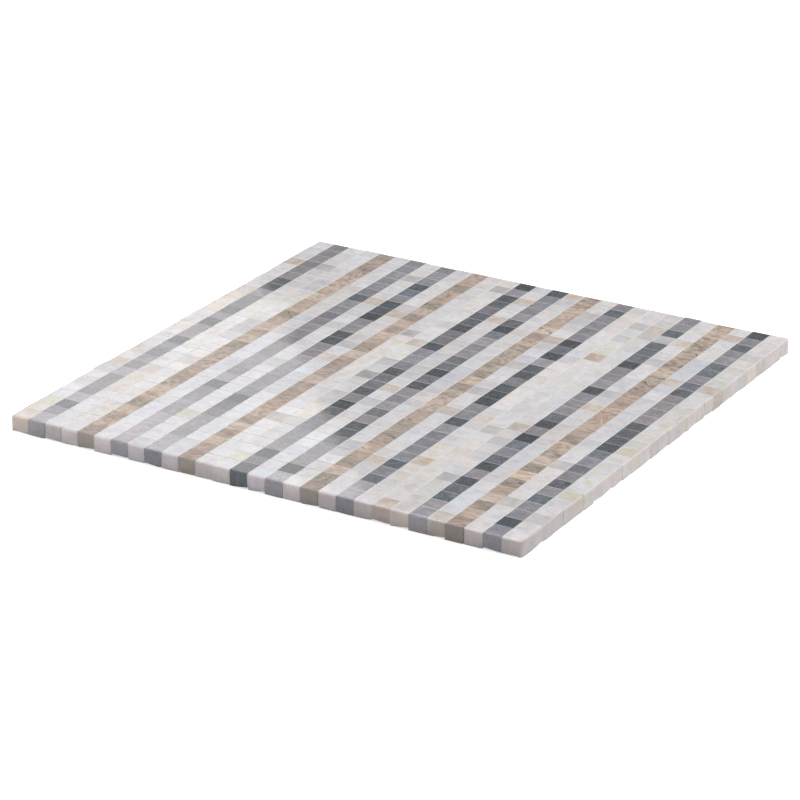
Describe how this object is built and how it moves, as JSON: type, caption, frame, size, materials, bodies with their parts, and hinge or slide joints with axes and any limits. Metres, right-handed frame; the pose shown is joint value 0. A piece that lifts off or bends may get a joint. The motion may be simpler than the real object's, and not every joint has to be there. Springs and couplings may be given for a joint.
{
  "type": "marble mosaic tile sheet",
  "caption": "Square sheet of small square marble tiles in cream, white, grey and wood-vein stripes, held at a hairline joint by a glass-yarn scrim glued to their backs, for wall or floor.",
  "frame": {"origin": "below the centre of the sheet, on the plane of the scrim's underside that beds on the wall or floor", "axes": "+X across the strips, +Y along the strips, +Z out of the polished face"},
  "size_m": [0.3044, 0.3044, 0.0087],
  "materials": {
    "cream_marble": "polished cream marble",
    "white_marble": "polished white marble",
    "grey_marble": "polished grey and charcoal marble",
    "timber_marble": "polished wood-vein marble",
    "glass_yarn": "resin-coated glass yarn"
  },
  "bodies": {
    "root": {"strip_01_cream": "cream_marble", "strip_02_grey": "grey_marble", "strip_03_cream": "cream_marble", "strip_04_cream": "cream_marble", "strip_05_timber": "timber_marble", "strip_06_white": "white_marble", "strip_07_grey": "grey_marble", "strip_08_white": "white_marble", "strip_09_grey": "grey_marble", "strip_10_white": "white_marble", "strip_11_timber": "timber_marble", "strip_12_cream": "cream_marble", "strip_13_cream": "cream_marble", "strip_14_grey": "grey_marble", "strip_15_white": "white_marble", "strip_16_grey": "grey_marble", "strip_17_white": "white_marble", "strip_18_timber": "timber_marble", "strip_19_white": "white_marble", "strip_20_grey": "grey_marble", "strip_21_cream": "cream_marble", "strip_22_cream": "cream_marble", "strip_23_cream": "cream_marble", "strip_24_grey": "grey_marble", "strip_25_white": "white_marble", "strip_26_timber": "timber_marble", "strip_27_white": "white_marble", "strip_28_grey": "grey_marble", "strip_29_cream": "cream_marble", "scrim_warp_yarns": "glass_yarn", "scrim_weft_yarns": "glass_yarn"}
  },
  "joints": []
}
